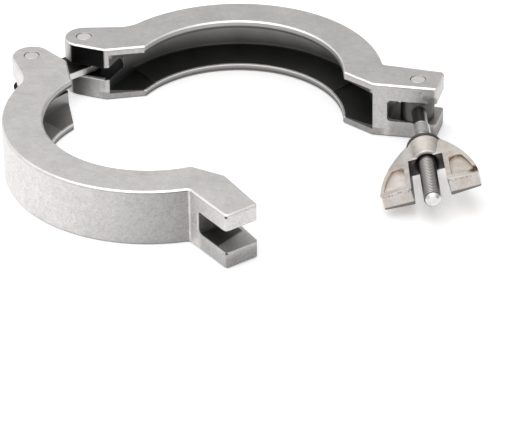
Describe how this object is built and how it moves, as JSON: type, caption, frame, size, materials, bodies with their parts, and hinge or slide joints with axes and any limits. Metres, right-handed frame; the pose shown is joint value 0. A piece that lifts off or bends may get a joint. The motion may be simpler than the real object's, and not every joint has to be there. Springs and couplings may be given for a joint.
{
  "type": "flange clamp",
  "caption": "Hinged two-piece clamping ring with a V-groove for tapered vacuum flanges, shown open, with a swing bolt and wing nut.",
  "frame": {"origin": "on the axis of the bolt half's ring, at the plane of the bottom faces", "axes": "+Z along the pipe axis, out of the top face; +X from the hinge to the bolt lug along the parting line of the bolt half; +Y into the bolt half's ring"},
  "size_m": [0.1463, 0.1192, 0.017],
  "materials": {
    "casting": "tumbled stainless casting, satin, with a fine peened grain",
    "link_steel": "satin stainless plate",
    "pin_steel": "turned stainless, flat ends",
    "bolt_steel": "threaded stainless, satin",
    "washer_steel": "plain stainless washer",
    "nut_casting": "warm grey blasted stainless casting, with a small rust stain at the outer edge of one wing"
  },
  "bodies": {
    "bolt_half": {"bolt_half": "casting", "hinge_pin": "pin_steel", "bolt_pin": "pin_steel"},
    "link": {"hinge_link": "link_steel"},
    "fork_pin": {"fork_pin": "pin_steel"},
    "fork_half": {"fork_half": "casting"},
    "swing_bolt": {"swing_bolt": "bolt_steel"},
    "washer": {"nut_washer": "washer_steel"},
    "wing_nut": {"wing_nut": "nut_casting"}
  },
  "joints": [
    {"name": "link_swing", "type": "hinge", "parent": "bolt_half", "child": "link", "pos_m": [-0.0496, 0.00935, 0.0085], "axis": [0, 0, 1], "range_deg": [-10, 36]},
    {"name": "fork_pin_turn", "type": "hinge", "parent": "link", "child": "fork_pin", "pos_m": [-0.06059, -0.00578, 0.0085], "axis": [0, 0, 1], "range_deg": [-36, 10]},
    {"name": "fork_swing", "type": "hinge", "parent": "fork_pin", "child": "fork_half", "pos_m": [-0.06059, -0.00578, 0.0085], "axis": [0, 0, 1], "range_deg": [-60, 38.3]},
    {"name": "bolt_swing", "type": "hinge", "parent": "bolt_half", "child": "swing_bolt", "pos_m": [0.0519, 0.00935, 0.0085], "axis": [0, 0, 1], "range_deg": [-17.8, 162.2]},
    {"name": "nut_travel", "type": "slide", "parent": "swing_bolt", "child": "washer", "axis": [0.3057, -0.9521, 0], "range_m": [-0.0004, 0.0184]},
    {"name": "nut_turn", "type": "hinge", "parent": "washer", "child": "wing_nut", "pos_m": [0.06107, -0.01921, 0.0085], "axis": [0.3057, -0.9521, 0], "range_deg": [-180, 8280]}
  ],
  "couplings": [
    {"joint": "fork_pin_turn", "follows": "link_swing", "ratio": -1},
    {"joint": "nut_travel", "follows": "nut_turn", "m_per_rad": 0.00012732}
  ]
}
